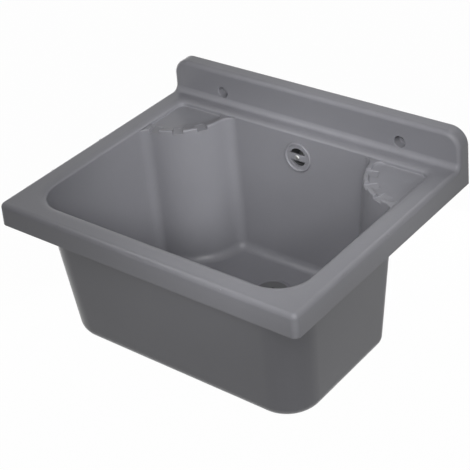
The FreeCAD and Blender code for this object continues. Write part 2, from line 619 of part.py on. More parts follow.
def make_basin():
    body = new_piece("basin")
    place(body, z="-fixing_height")
    rim_outside(body)
    rim_hollow(body)
    rim_ribs(body)
    ledge_under = f"({LEDGE_DEPTH} + wall)"
    underside = "(bowl_depth + wall)"
    loft(body, "Additive", "upper_outside", [
        opening_outline(body, "upper_outside_top", "0", "wall"),
        opening_outline(body, "upper_outside_foot", ledge_under, "wall")])
    loft(body, "Additive", "bowl_outside", [
        bowl_outline(body, "bowl_outside_top", ledge_under, "wall"),
        bowl_outline(body, "bowl_outside_foot", underside, "wall")])
    sections = []
    for step in range(ROLL_STEPS + 1):
        inward, drop = quarter("opening_roll", "lip_drop", step / ROLL_STEPS)
        sections.append(opening_outline(body, f"opening_{step}", drop, f"(opening_roll - {inward})"))
    loft(body, "Subtractive", "opening", sections)
    sections = []
    for step in range(LIP_STEPS + 1):
        inward, drop = quarter("lip_round", "lip_round", step / LIP_STEPS)
        sections.append(bowl_outline(body, f"bowl_lip_{step}", f"(lip_drop + {drop})", "0",
                                     f"(lip_round - {inward})"))
    sections.append(bowl_outline(body, "bowl_floor", "bowl_depth", "0"))
    loft(body, "Subtractive", "bowl", sections)
    floor = -number("bowl_depth")
    floor_round = "min(floor_round; 0.9 * ledge_cove)"
    rounded(body, "floor_edge", floor_round, lambda bounds: level_at(bounds, floor))
    foot = -number(underside)
    rounded(body, "underside_edge", f"{floor_round} + wall", lambda bounds: level_at(bounds, foot))
    for side, sign, middle in (("left", "-", "notch_middle_left"), ("right", "", "notch_middle_right")):
        soap_ledge(body, side, sign, middle)
        cylinder(body, "Subtractive", f"fixing_hole_{side}", "fixing_hole", "2 * upstand_thickness",
                 x=f"{sign}fixing_spacing / 2", y="upstand_thickness / 2", z="fixing_height",
                 axis=X_AXIS, angle="90")
        cylinder(body, "Subtractive", f"fixing_recess_{side}", "fixing_recess", f"2 * {RECESS_DEPTH}",
                 x=f"{sign}fixing_spacing / 2", y=f"{RECESS_DEPTH} - upstand_thickness",
                 z="fixing_height", axis=X_AXIS, angle="90")
    cylinder(body, "Additive", "drain_boss", f"{FLANGE_RADIUS} + flange_clearance + drain_boss_wall",
             "drain_recess + wall / 2", y="-drain_from_wall", z="-bowl_depth - wall - drain_recess")
    cylinder(body, "Subtractive", "drain_recess", f"{FLANGE_RADIUS} + flange_clearance", "2 * drain_recess",
             y="-drain_from_wall", z="-bowl_depth - drain_recess")
    cylinder(body, "Subtractive", "drain_hole", DRAIN_HOLE, "2 * (drain_recess + wall)",
             y="-drain_from_wall", z="-bowl_depth - 1.5 * (drain_recess + wall)")
    cylinder(body, "Subtractive", "overflow_hole", OVERFLOW_HOLE, "4 * wall",
             y=f"{OVERFLOW_Y} + 2 * wall * cos(bowl_draft * 1 deg)",
             z="-overflow_drop - 2 * wall * sin(bowl_draft * 1 deg)", axis=X_AXIS, angle="90 - bowl_draft")


# Strainer and waste
# Their zero is on the bowl's floor at the drain's axis.

def at_drain(label):
    body = new_piece(label)
    place(body, y="-drain_from_wall", z="-fixing_height - bowl_depth")
    return body


def cross_bars(body, name, length, height, foot, first_angle):
    """Two crossed bars through the axis."""
    for turn in range(2):
        angle = first_angle + 90 * turn
        swing = f"({angle} * 1 deg)"
        box(body, "Additive", f"{name}_{turn}", length, "bar_width", height,
            x=f"bar_width / 2 * sin{swing} - ({length}) / 2 * cos{swing}",
            y=f"-bar_width / 2 * cos{swing} - ({length}) / 2 * sin{swing}",
            z=foot, axis=Z_AXIS, angle=f"{angle}")


def make_strainer_flange():
    body = at_drain("strainer_flange")
    flange_foot = "(strainer_gasket_height - drain_recess)"
    turned(body, "flange", [
        (THROAT_BORE, "-throat_depth"),
        ("throat_radius", "-throat_depth"),
        ("throat_radius", flange_foot),
        (FLANGE_RADIUS, flange_foot),
        (FLANGE_RADIUS, "0"),
        (f"{FLANGE_RADIUS} - flange_bevel", "flange_rise"),
        (SEAT_RADIUS, "flange_rise"),
        (THROAT_BORE, "-seat_depth"),
    ])
    cross_bars(body, "bar", f"2 * {THROAT_BORE} + throat_wall", "bar_height", "-throat_depth", 0)
    cylinder(body, "Additive", "hub", "hub_radius", "hub_height", z="-throat_depth")
    cylinder(body, "Subtractive", "screw_hole", "screw_radius + screw_clearance", "3 * hub_height",
             z="-throat_depth - hub_height")


def make_strainer_screw():
    body = at_drain("strainer_screw")
    end = f"-{INSERT_TOP} - insert_height - screw_end"
    top = f"screw_head_height - {HUB_TOP}"
    turned(body, "shank_and_head", [
        ("0", end),
        ("screw_radius", end),
        ("screw_radius", f"-{HUB_TOP}"),
        ("screw_head_radius", f"-{HUB_TOP}"),
        ("screw_head_radius", top),
        ("0", top),
    ])
    box(body, "Subtractive", "slot", "4 * screw_head_radius", "screw_slot", "2 * screw_slot",
        x="-2 * screw_head_radius", y="-screw_slot / 2", z=f"{top} - screw_slot")


def make_ring(body, name, bore, radius, foot, top):
    """A flat ring, such as a gasket or an insert."""
    turned(body, name, [(bore, foot), (radius, foot), (radius, top), (bore, top)])


def make_drain_gaskets():
    make_ring(at_drain("strainer_gasket"), "ring", DRAIN_HOLE, f"{FLANGE_RADIUS} - gasket_inset",
              "-drain_recess", "strainer_gasket_height - drain_recess")
    make_ring(at_drain("waste_gasket"), "ring", DRAIN_HOLE,
              f"{CUP_RADIUS} + waste_flange_width - gasket_inset",
              f"-{WASTE_TOP}", f"waste_gasket_height - {WASTE_TOP}")


def make_waste_body():
    body = at_drain("waste_body")
    flange = f"{CUP_RADIUS} + waste_flange_width"
    flange_foot = f"-{WASTE_TOP} - waste_flange_height"
    turned(body, "outside", [
        ("0", f"-{WASTE_TOP}"),
        ("0", f"-{TAIL_FOOT}"),
        ("tail_radius", f"-{TAIL_FOOT}"),
        ("tail_radius", f"-{TAIL_TOP}"),
        (CUP_RADIUS, f"-{CUP_FOOT}"),
        (CUP_RADIUS, flange_foot),
        (flange, flange_foot),
        (flange, f"-{WASTE_TOP}"),
    ])
    cylinder(body, "Additive", "inlet", "union_radius", INLET_REACH,
             z=f"-{INLET_DROP}", axis=X_AXIS, angle="-90")
    tail_bore = "(tail_radius - tail_wall)"
    hollowed(body, "inside", [
        ("0", f"-{WASTE_TOP}"),
        ("0", f"-{TAIL_FOOT}"),
        (tail_bore, f"-{TAIL_FOOT}"),
        (tail_bore, f"-{TAIL_TOP}"),
        (CUP_BORE, f"-{CUP_FOOT}"),
        (CUP_BORE, f"-{WASTE_TOP}"),
    ])
    cylinder(body, "Subtractive", "inlet_bore", "union_bore", f"{INLET_REACH} + union_bore",
             z=f"-{INLET_DROP}", axis=X_AXIS, angle="-90")
    cross_bars(body, "spoke", f"2 * {CUP_BORE} + waste_wall", "spoke_height", f"-{WASTE_HUB_FOOT}", 45)
    cylinder(body, "Additive", "hub", WASTE_HUB, f"{WASTE_HUB_FOOT} - {WASTE_HUB_TOP}",
             z=f"-{WASTE_HUB_FOOT}")
    cylinder(body, "Subtractive", "screw_hole", "screw_radius + screw_clearance",
             f"{WASTE_HUB_FOOT} - {WASTE_HUB_TOP} + insert_cover", z=f"-{WASTE_HUB_FOOT}")
    cylinder(body, "Subtractive", "insert_pocket", "insert_radius + insert_clearance",
             "insert_height + insert_setback", z=f"-{WASTE_HUB_FOOT}")
    make_ring(at_drain("waste_insert"), "insert", "screw_radius + thread_clearance", "insert_radius",
              f"-{INSERT_TOP} - insert_height", f"-{INSERT_TOP}")


def make_plug():
    """A rubber plug on the conical seat, with an eye for its pull ring."""
    body = at_drain("drain_plug")
    slope = "(seat_flare / (flange_rise + seat_depth))"
    foot_radius = f"({SEAT_RADIUS} - (flange_rise + {PLUG_FOOT}) * {slope} - seat_clearance)"
    edge_radius = f"({SEAT_RADIUS} + plug_edge * {slope} - seat_clearance)"
    turned(body, "stopper", [
        ("0", f"-{PLUG_FOOT}"),
        (foot_radius, f"-{PLUG_FOOT}"),
        (edge_radius, PLUG_EDGE),
        ("plug_pad", PLUG_TOP),
        ("0", PLUG_TOP),
    ])
    box(body, "Additive", "eye_stem", "eye_thickness", "eye_width", "plug_crown + eye_height",
        x="-eye_thickness / 2", y="-eye_width / 2", z=PLUG_EDGE)
    cylinder(body, "Additive", "eye", "eye_width / 2", "eye_thickness",
             x="-eye_thickness / 2", z=f"{PLUG_TOP} + eye_height", axis=Y_AXIS, angle="90")
    cylinder(body, "Subtractive", "eye_hole", EYE_HOLE, "3 * eye_thickness",
             x="-1.5 * eye_thickness", z=f"{PLUG_TOP} + eye_height", axis=Y_AXIS, angle="90")


def make_plug_ring():
    """A wire ring that hangs in the plug's eye and lies down to the front."""
    body = new_piece("plug_ring")
    place(body, y="-drain_from_wall", z=f"{PLUG_TOP} + eye_height - fixing_height - bowl_depth",
          axis=X_AXIS, angle=RING_DIP)
    torus = feature(body, "AdditiveTorus", "wire", Radius1="ring_radius", Radius2="ring_wire")
    place(torus, y="-ring_radius")


# Overflow
# Its zero is on the inside of the bowl's back wall, with +Z square out of the wall into the bowl.

def at_overflow(label):
    body = new_piece(label)
    place(body, y=OVERFLOW_Y, z="-fixing_height - overflow_drop", axis=X_AXIS, angle="90 - bowl_draft")
    return body


def make_rosette():
    body = at_overflow("overflow_rosette")
    bead_middle = "(rosette_radius - rosette_bead)"
    bead_arc = ("rosette_bead", bead_middle, "rosette_bead")
    turned(body, "plate", [
        ("0", "0"),
        (bead_middle, "0") + bead_arc,
        ("rosette_radius", "rosette_bead") + bead_arc,
        (bead_middle, "2 * rosette_bead") + bead_arc,
        ("rosette_radius - 2 * rosette_bead", "rosette_bead"),
        ("rosette_pad", "rosette_plate"),
        ("0", "rosette_plate"),
    ])
    make_ring(body, "collar", COLLAR_BORE, COLLAR_RADIUS, "-wall", "rosette_bead / 2")
    slot_x = f"sqrt({SLOT_RADIUS} * {SLOT_RADIUS} - slot_bar * slot_bar / 4)"
    slot_arc = (SLOT_RADIUS, "0", "0")
    for side, sign in (("upper", ""), ("lower", "-")):
        slot = outline(body, f"{side}_slot_outline", "XY_Plane", [
            (f"-{slot_x}", f"{sign}slot_bar / 2"),
            (slot_x, f"{sign}slot_bar / 2") + slot_arc,
        ])
        cut = feature(body, "Pocket", f"{side}_slot", slot, Length="4 * rosette_plate")
        cut.Midplane = True
    cylinder(body, "Subtractive", "screw_hole", "overflow_screw_radius + screw_clearance",
             "3 * rosette_plate", z="-rosette_plate")


def make_overflow_screw():
    body = at_overflow("overflow_screw")
    end = f"-{OVERFLOW_INSERT_FRONT} - overflow_insert_height - screw_end"
    edge = "(rosette_plate + overflow_head_edge)"
    top = f"({edge} + overflow_head_crown)"
    turned(body, "shank_and_head", [
        ("0", end),
        ("overflow_screw_radius", end),
        ("overflow_screw_radius", "rosette_plate"),
        ("overflow_head_radius", "rosette_plate"),
        ("overflow_head_radius", edge),
        ("overflow_head_flat", top),
        ("0", top),
    ])
    box(body, "Subtractive", "slot", "4 * overflow_head_radius", "screw_slot", "2 * screw_slot",
        x="-2 * overflow_head_radius", y="-screw_slot / 2", z=f"{top} - screw_slot")


def make_overflow_elbow():
    body = at_overflow("overflow_elbow")
    flange_back = f"-{ELBOW_FRONT} - elbow_flange_height"
    turned(body, "outside", [
        ("0", f"-{ELBOW_FRONT}"),
        ("0", f"-{ELBOW_BACK}"),
        (ELBOW_RADIUS, f"-{ELBOW_BACK}"),
        (ELBOW_RADIUS, flange_back),
        (ELBOW_FLANGE, flange_back),
        (ELBOW_FLANGE, f"-{ELBOW_FRONT}"),
    ])
    cylinder(body, "Additive", "spout", "union_radius", SPOUT_REACH,
             z=f"-{SPOUT_DEPTH}", axis=X_AXIS, angle="90")
    inside_back = f"elbow_wall - {ELBOW_BACK}"
    hollowed(body, "inside", [
        ("0", f"-{ELBOW_FRONT}"),
        ("0", inside_back),
        (f"{ELBOW_RADIUS} - elbow_wall", inside_back),
        (f"{ELBOW_RADIUS} - elbow_wall", f"-{ELBOW_FRONT}"),
    ])
    cylinder(body, "Subtractive", "spout_bore", "union_bore", f"{SPOUT_REACH} + union_bore",
             z=f"-{SPOUT_DEPTH}", axis=X_AXIS, angle="90")
    hub_length = f"({ELBOW_BACK} - {ELBOW_HUB_FRONT})"
    cylinder(body, "Additive", "hub", ELBOW_HUB, hub_length, z=f"-{ELBOW_BACK}")
    cylinder(body, "Subtractive", "screw_hole", "overflow_screw_radius + screw_clearance",
             f"{hub_length} + overflow_insert_cover", z=f"-{ELBOW_BACK}")
    cylinder(body, "Subtractive", "insert_pocket", "overflow_insert_radius + insert_clearance",
             f"{hub_length} - overflow_insert_cover", z=f"-{ELBOW_BACK}")
    make_ring(at_overflow("overflow_insert"), "insert", "overflow_screw_radius + thread_clearance",
              "overflow_insert_radius", f"-{OVERFLOW_INSERT_FRONT} - overflow_insert_height",
              f"-{OVERFLOW_INSERT_FRONT}")
    make_ring(at_overflow("overflow_gasket"), "ring", OVERFLOW_HOLE, f"{ELBOW_FLANGE} - gasket_inset",
              f"-{ELBOW_FRONT}", f"-{BACK_FACE}")


# Overflow hose and its unions
# A union's zero is on the end of its thread, with +Z along the hose.

UNIONS = {
    "upper": dict(y=f"{OVERFLOW_Y} - {SPOUT_REACH} * sin(bowl_draft * 1 deg)"
                    f" + {SPOUT_DEPTH} * cos(bowl_draft * 1 deg)",
                  z=f"-fixing_height - overflow_drop - {SPOUT_REACH} * cos(bowl_draft * 1 deg)"
                    f" - {SPOUT_DEPTH} * sin(bowl_draft * 1 deg)",
                  axis=X_AXIS, angle="180 - bowl_draft"),
    "lower": dict(y=f"{INLET_REACH} - drain_from_wall", z=f"-fixing_height - bowl_depth - {INLET_DROP}",
                  axis=X_AXIS, angle="-90"),
}


def make_union(end):
    """A flat seal on the thread's end and the nut that holds the hose's collar on it."""
    seal = new_piece(f"hose_seal_{end}")
    place(seal, **UNIONS[end])
    make_ring(seal, "ring", "union_bore", "union_radius", "0", "seal_height")
    nut = new_piece(f"hose_nut_{end}")
    place(nut, **UNIONS[end])
    thread = "(union_radius + nut_clearance)"
    hole = f"({CUFF_RADIUS} + nut_clearance)"
    turned(nut, "nut", [
        (thread, "-nut_skirt"),
        (NUT_RADIUS, "-nut_skirt"),
        (NUT_RADIUS, f"{NUT_SEAT} + nut_end"),
        (hole, f"{NUT_SEAT} + nut_end"),
        (hole, NUT_SEAT),
        (thread, NUT_SEAT),
    ])
    grip = box(nut, "Additive", "grip", "2 * nut_grip", "nut_grip_width", f"nut_skirt + {NUT_SEAT} + nut_end",
               x=f"{NUT_RADIUS} - nut_grip", y="-nut_grip_width / 2", z="-nut_skirt")
    doc.recompute()
    grips = nut.newObject("PartDesign::PolarPattern", "grips")
    grips.Originals = [grip]
    grips.Axis = (next(item for item in nut.Origin.OriginFeatures if item.Role == "Z_Axis"), [""])
    grips.Angle = 360
    grips.Occurrences = NUT_GRIPS
    nut.Tip = grips


def make_hose():
    """The ribbed hose: straight down along the back wall, one bend, straight into the waste body."""
    draft = math.radians(number("bowl_draft"))
    down = FreeCAD.Vector(0, -math.sin(draft), -math.cos(draft))
    seal = number("seal_height")
    start = FreeCAD.Vector(0, number(UNIONS["upper"]["y"]), number(UNIONS["upper"]["z"])) + down * seal
    finish = FreeCAD.Vector(0, number(UNIONS["lower"]["y"]) + seal, number(UNIONS["lower"]["z"]))
    bore = number("union_bore")
    root = number("union_bore + rib_wall")
    crest = number("union_bore + rib_wall + rib_height")
    turn = math.pi / 2 - draft
    corner = start + down * ((start.z - finish.z) / math.cos(draft))
    last_run = 2 * crest
    tangent = corner.y - finish.y - last_run
    bend = tangent / math.tan(turn / 2)
    first_run = (corner - start).Length - tangent
    length = first_run + bend * turn + last_run
    bend_start = start + down * first_run
    inward = FreeCAD.Vector(0, -math.cos(draft), math.sin(draft))
    middle = bend_start + inward * bend

    def spot(travel):
        """The hose's middle at a distance from its start, and the turn about X that faces along it."""
        if travel <= first_run:
            return start + down * travel, 180 - math.degrees(draft)
        swept = min((travel - first_run) / bend, turn)
        point = middle - inward * (bend * math.cos(swept)) + down * (bend * math.sin(swept))
        past = max(0.0, travel - first_run - bend * turn)
        return point - Y_AXIS * past, 180 - math.degrees(draft + swept)

    def ring(travel, radius):
        point, facing = spot(travel)
        wire = Part.Wire([Part.makeCircle(radius)])
        wire.Placement = FreeCAD.Placement(point, FreeCAD.Rotation(X_AXIS, facing))
        return wire

    cuff = number("cuff_length")
    pitch = number("rib_pitch")
    ribs = int((length - 2 * cuff) / pitch)
    cuff = (length - ribs * pitch) / 2
    cuff_radius = number(CUFF_RADIUS)
    rings = [ring(0, cuff_radius), ring(cuff - pitch / 4, cuff_radius)]
    for rib in range(ribs):
        for share, on_crest in RIB_CIRCLES:
            rings.append(ring(cuff + (rib + share) * pitch, crest if on_crest else root))
    rings.append(ring(length - cuff, root))
    rings.append(ring(length - cuff + pitch / 4, cuff_radius))
    rings.append(ring(length, cuff_radius))
    outside = Part.makeLoft(rings, True, True)
    collar = number("cuff_collar")
    collar_radius = number("union_radius")
    outside = outside.fuse([
        Part.makeCylinder(collar_radius, collar, start, down),
        Part.makeCylinder(collar_radius, collar, finish, Y_AXIS)])
    bend_end = middle - Z_AXIS * bend
    bend_middle, unused = spot(first_run + bend * turn / 2)
    path = Part.Wire([
        Part.LineSegment(start, bend_start).toShape(),
        Part.Arc(bend_start, bend_middle, bend_end).toShape(),
        Part.LineSegment(bend_end, finish).toShape()])
    hole = path.makePipe(Part.Face(ring(0, bore)))
    body = doc.addObject("Part::Feature", "overflow_hose")
    body.Label = "overflow_hose"
    body.Shape = outside.cut(hole)
    body.Placement = FreeCAD.Placement()
    pieces.append(body)
    mean = math.pi * (((root + crest) / 2) ** 2 - bore ** 2) * length
    print(f"hose: {ribs} ribs, {length:.1f} mm long, bend {bend:.1f} mm,",
          f"volume {body.Shape.Volume:.0f} mm3, {body.Shape.Volume / mean:.2f} of its mean section")


make_basin()
make_strainer_flange()
make_strainer_screw()
make_drain_gaskets()
make_waste_body()
make_plug()
make_plug_ring()
make_rosette()
make_overflow_screw()
make_overflow_elbow()
for union in UNIONS:
    make_union(union)
make_hose()
doc.recompute()
for item in doc.Objects:
    if "Invalid" in item.State or "Error" in item.State:
        raise RuntimeError(f"{item.Label} failed: {item.State}")
for body in pieces:
    if body.Shape.isNull() or not body.Shape.isValid():
        raise RuntimeError(f"{body.Label} has no valid shape")
os.makedirs("parts", exist_ok=True)
for body in pieces:
    body.Shape.exportStep(f"parts/{body.Label}.step")
    bounds = body.Shape.optimalBoundingBox()
    print(f"{body.Label}: {len(body.Shape.Solids)} solid, {body.Shape.Volume:.0f} mm3,",
          f"{bounds.XLength:.1f} x {bounds.YLength:.1f} x {bounds.ZLength:.1f} mm")
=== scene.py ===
# %% [markdown]
# # A wall mount utility sink
# The real sink is one satin grey moulding that hangs on two wall screws, with a small overflow plate
# in its back wall and a waste below its floor. The solids come in at their real size, in metres, with
# the origin on the wall plane midway between the fixing holes, +Z up and +Y into the wall.
# This lesson dresses them: it sets the camera and the light, gives every surface a finish made of
# shader nodes, softens the hard edges of the solids and models what a solid can't show well.

# %% Load the solids
import json
import math

import bmesh
import bpy
from mathutils import Matrix, Quaternion, Vector


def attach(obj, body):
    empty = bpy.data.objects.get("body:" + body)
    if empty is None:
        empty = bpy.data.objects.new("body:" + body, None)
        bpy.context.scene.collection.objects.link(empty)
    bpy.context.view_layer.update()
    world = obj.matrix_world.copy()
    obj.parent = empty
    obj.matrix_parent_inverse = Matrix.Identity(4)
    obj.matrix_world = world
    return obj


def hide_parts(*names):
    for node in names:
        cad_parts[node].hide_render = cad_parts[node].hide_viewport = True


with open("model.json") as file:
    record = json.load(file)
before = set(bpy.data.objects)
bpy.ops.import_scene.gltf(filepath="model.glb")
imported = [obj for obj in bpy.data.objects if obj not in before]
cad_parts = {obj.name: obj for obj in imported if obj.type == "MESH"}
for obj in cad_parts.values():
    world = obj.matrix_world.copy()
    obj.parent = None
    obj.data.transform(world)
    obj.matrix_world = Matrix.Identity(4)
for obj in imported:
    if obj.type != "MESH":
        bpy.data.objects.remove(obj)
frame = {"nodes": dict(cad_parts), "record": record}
nodes = frame["nodes"]
bodies = frame["record"]["behaviour"]["bodies"]
body_of_node = {node: body for body, names in bodies.items() for node in names}
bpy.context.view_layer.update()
MM = 0.001

# %% [markdown]
# ## Camera
# The photograph looks down into the bowl from the front right, through a long lens, with a slight
# roll. A camera could be aimed with a constraint, but a constraint is one more thing to follow when
# the view changes. Here two angles give the direction, and the roll is a last turn about the lens.

# %% Camera
CAMERA_SPOT = Vector((1.1137, -1.5120, 1.0066))
AZIMUTH = math.radians(40.93)
ELEVATION = math.radians(33.26)
ROLL = math.radians(-5.98)
LENS_MM = 102.052
SENSOR_MM = 36

camera_data = bpy.data.cameras.new("photo_camera")
camera_data.lens = LENS_MM
camera_data.sensor_width = SENSOR_MM
camera = bpy.data.objects.new("photo_camera", camera_data)
bpy.context.scene.collection.objects.link(camera)
flat_reach = math.cos(ELEVATION)
view = Vector((-math.sin(AZIMUTH) * flat_reach, math.cos(AZIMUTH) * flat_reach, -math.sin(ELEVATION)))
aim = view.to_track_quat("-Z", "Y") @ Quaternion((0, 0, 1), ROLL)
camera.matrix_world = Matrix.LocRotScale(CAMERA_SPOT, aim, None)
bpy.context.scene.camera = camera
bpy.context.scene.view_settings.view_transform = "Standard"
print("camera looks along", [round(part, 3) for part in view])

# %% [markdown]
# ## Floor and world
# The sink hangs at its working height, with its rim 0.85 m above a pale floor. The photograph's
# background is plain white. More light would bleach the sink, so the floor and the world are white
# only to the rays that come from the camera, a mirror or glass. All other rays see a dim room.
# The floor's underside is clear, so that it hides nothing from a camera that looks up.

# %% Node helpers
def add_node(tree, kind, **settings):
    """A shader node with its settings, and its inputs by name under inputs."""
    node = tree.nodes.new(kind)
    for name, value in settings.pop("inputs", {}).items():
        node.inputs[name].default_value = value
    for name, value in settings.items():
        setattr(node, name, value)
    return node


def seen_directly(tree):
    """1 for a ray that comes from the camera, a mirror or glass, and 0 for diffuse light."""
    rays = add_node(tree, "ShaderNodeLightPath")
    mirror = add_node(tree, "ShaderNodeMath", operation="MAXIMUM")
    glass = add_node(tree, "ShaderNodeMath", operation="MAXIMUM")
    tree.links.new(rays.outputs["Is Camera Ray"], mirror.inputs[0])
    tree.links.new(rays.outputs["Is Glossy Ray"], mirror.inputs[1])
    tree.links.new(mirror.outputs[0], glass.inputs[0])
    tree.links.new(rays.outputs["Is Transmission Ray"], glass.inputs[1])
    return glass.outputs[0]


# %% Floor
RIM_TOP = -18 * MM
RIM_ABOVE_FLOOR = 0.85
FLOOR_HALF = 8

floor_mesh = bpy.data.meshes.new("studio_floor")
bm = bmesh.new()
bmesh.ops.create_grid(bm, x_segments=1, y_segments=1, size=FLOOR_HALF)
bmesh.ops.translate(bm, verts=bm.verts, vec=(0, 0, RIM_TOP - RIM_ABOVE_FLOOR))
bm.to_mesh(floor_mesh)
bm.free()
floor = bpy.data.objects.new("studio_floor", floor_mesh)
bpy.context.scene.collection.objects.link(floor)
print("floor at", round(RIM_TOP - RIM_ABOVE_FLOOR, 3), "m")

# %% Floor paint
FLOOR_GREY = 0.7
FLOOR_WHITE = 0.985

floor_paint = bpy.data.materials.new("pale_floor")
floor_paint.use_nodes = True
tree = floor_paint.node_tree
tree.nodes.clear()
output = add_node(tree, "ShaderNodeOutputMaterial")
matt = add_node(tree, "ShaderNodeBsdfDiffuse", inputs={"Color": (FLOOR_GREY, FLOOR_GREY, FLOOR_GREY, 1)})
white = add_node(tree, "ShaderNodeEmission", inputs={"Color": (1, 1, 1, 1), "Strength": 1})
share = add_node(tree, "ShaderNodeMath", operation="MULTIPLY")
share.inputs[1].default_value = FLOOR_WHITE
tree.links.new(seen_directly(tree), share.inputs[0])
top_side = add_node(tree, "ShaderNodeMixShader")
tree.links.new(share.outputs[0], top_side.inputs[0])
tree.links.new(matt.outputs[0], top_side.inputs[1])
tree.links.new(white.outputs[0], top_side.inputs[2])
facing = add_node(tree, "ShaderNodeNewGeometry")
open_below = add_node(tree, "ShaderNodeBsdfTransparent")
one_sided = add_node(tree, "ShaderNodeMixShader")
tree.links.new(facing.outputs["Backfacing"], one_sided.inputs[0])
tree.links.new(top_side.outputs[0], one_sided.inputs[1])
tree.links.new(open_below.outputs[0], one_sided.inputs[2])
tree.links.new(one_sided.outputs[0], output.inputs["Surface"])
floor_mesh.materials.append(floor_paint)
print("floor paint:", len(tree.nodes), "nodes")

# %% World
ROOM_LIGHT = 0.02

world = bpy.data.worlds.new("studio")
world.use_nodes = True
tree = world.node_tree
tree.nodes.clear()
output = add_node(tree, "ShaderNodeOutputWorld")
room = add_node(tree, "ShaderNodeBackground", inputs={"Color": (1, 1, 1, 1), "Strength": ROOM_LIGHT})
backdrop = add_node(tree, "ShaderNodeBackground", inputs={"Color": (1, 1, 1, 1), "Strength": 1})
choice = add_node(tree, "ShaderNodeMixShader")
tree.links.new(seen_directly(tree), choice.inputs[0])
tree.links.new(room.outputs[0], choice.inputs[1])
tree.links.new(backdrop.outputs[0], choice.inputs[2])
tree.links.new(choice.outputs[0], output.inputs["Surface"])
bpy.context.scene.world = world
print("room light", ROOM_LIGHT)

# %% [markdown]
# ## Light
# The photograph is lit from the front right. One soft box near the sink gives most of the light, so
# the right half of the rim is brighter than the left. The far walls of the bowl and the upstand are
# lighter than the skirt, though they face the same way. One lamp can't do both, so three narrow spot
# lamps look over the near rim. Their cones fade out before they reach the skirt, so no edge shows.
# Two small lamps stand where the rim's rounded outer edges mirror them to the camera: one behind the
# sink for the right edge and one above its left for the front edge. A weak lamp below stands for the
# light that a pale floor throws back on the outside of the bowl. Two wide soft boxes light the back
# and the left side for the other views. They stand below the rim and behind the front, so they
# hardly touch what the photograph shows. No lamp is seen by the camera itself.

# %% Lamps
BOWL_MIDDLE = (0, -0.22, -0.1)
LEFT_LEDGE = (-0.14, -0.13, -0.06)
RIGHT_LEDGE = (0.12, -0.06, -0.03)
FRONT_RIM = (0, -0.44, -0.02)
NARROW_BEAM = {"size": 0.12, "cone": math.radians(29)}
LAMPS = {
    "soft_box": {"spot": (0.55, -0.77, 0.68), "target": BOWL_MIDDLE, "size": 0.6, "watts": 5.2},
    "left_spot": {"spot": (0.618, -0.812, 0.352), "target": LEFT_LEDGE, "watts": 28, **NARROW_BEAM},
    "side_spot": {"spot": (0.876, -0.219, 0.352), "target": LEFT_LEDGE, "watts": 12, **NARROW_BEAM},
    "right_spot": {"spot": (0.344, -0.897, 0.647), "target": RIGHT_LEDGE, "watts": 22, **NARROW_BEAM},
    "edge_light": {"spot": (0.243, 0.529, 0.806), "target": BOWL_MIDDLE, "size": 0.25, "watts": 1.0},
    "rim_light": {"spot": (-0.69, -0.64, 1.0), "target": FRONT_RIM, "size": 0.3, "watts": 1.9},
    "floor_light": {"spot": (0.833, -1.053, -0.649), "target": BOWL_MIDDLE, "size": 0.8, "watts": 1.6},
    "back_light": {"spot": (-0.3, 1.15, -0.42), "target": BOWL_MIDDLE, "size": 0.9, "watts": 8},
    "left_light": {"spot": (-1.15, 0.25, -0.35), "target": BOWL_MIDDLE, "size": 0.9, "watts": 5},
}


def add_lamp(name, spot, target, size, watts, cone=None):
    """A square soft box, or a spot lamp where a cone is given, turned to its target."""
    if cone is None:
        lamp = bpy.data.lights.new(name, "AREA")
        lamp.shape = "SQUARE"
        lamp.size = size
    else:
        lamp = bpy.data.lights.new(name, "SPOT")
        lamp.spot_size = cone
        lamp.spot_blend = 1
        lamp.shadow_soft_size = size
    lamp.energy = watts
    holder = bpy.data.objects.new(name, lamp)
    bpy.context.scene.collection.objects.link(holder)
    aim = (Vector(target) - Vector(spot)).to_track_quat("-Z", "Y")
    holder.matrix_world = Matrix.LocRotScale(Vector(spot), aim, None)
    holder.visible_camera = False


for name, lamp in LAMPS.items():
    add_lamp(name, **lamp)
print("lamps:", ", ".join(LAMPS))

# %% [markdown]
# ## Shared surface effects
# Moulded plastic and rubber copy the fine grain of their mould, and their tone drifts a little where
# the melt flowed. Several finishes need this, so it is one node group with its own inputs.
# It reads Object coordinates, so the grain keeps its real size on every piece.

# %% Moulded skin group
def noise(tree, place, scale, detail, roughness):
    """A noise texture of so many waves per metre."""
    made = add_node(tree, "ShaderNodeTexNoise", inputs={"Detail": detail, "Roughness": roughness})
    tree.links.new(place, made.inputs["Vector"])
    if isinstance(scale, (int, float)):
        made.inputs["Scale"].default_value = scale
    else:
        tree.links.new(scale, made.inputs["Scale"])
    return made.outputs["Fac"]


def new_group(name, inputs, outputs):
    """An empty shader group with float sockets, and its two ends."""
    group = bpy.data.node_groups.new(name, "ShaderNodeTree")
    for socket, value in inputs.items():
        made = group.interface.new_socket(socket, in_out="INPUT", socket_type="NodeSocketFloat")
        made.default_value = value
    for socket in outputs:
        group.interface.new_socket(socket, in_out="OUTPUT", socket_type="NodeSocketFloat")
    return group, group.nodes.new("NodeGroupInput"), group.nodes.new("NodeGroupOutput")


skin_inputs = {"Grain Scale": 900, "Flow Scale": 7}
moulded_skin, given, result = new_group("moulded_skin", skin_inputs, ("Grain", "Flow"))
place = add_node(moulded_skin, "ShaderNodeTexCoord").outputs["Object"]
grain = noise(moulded_skin, place, given.outputs["Grain Scale"], 3, 0.6)
flow = noise(moulded_skin, place, given.outputs["Flow Scale"], 4, 0.55)
moulded_skin.links.new(grain, result.inputs["Grain"])
moulded_skin.links.new(flow, result.inputs["Flow"])
print("group", moulded_skin.name)

# %% [markdown]
# Turned and drawn metal keeps fine marks that run one way. The second group stretches a noise along
# one axis for those marks, and adds a slower one for the cloudy film that handling leaves.

# %% Tool marks group
FILM_WAVES = 90
ALONG_MARKS = 0.04

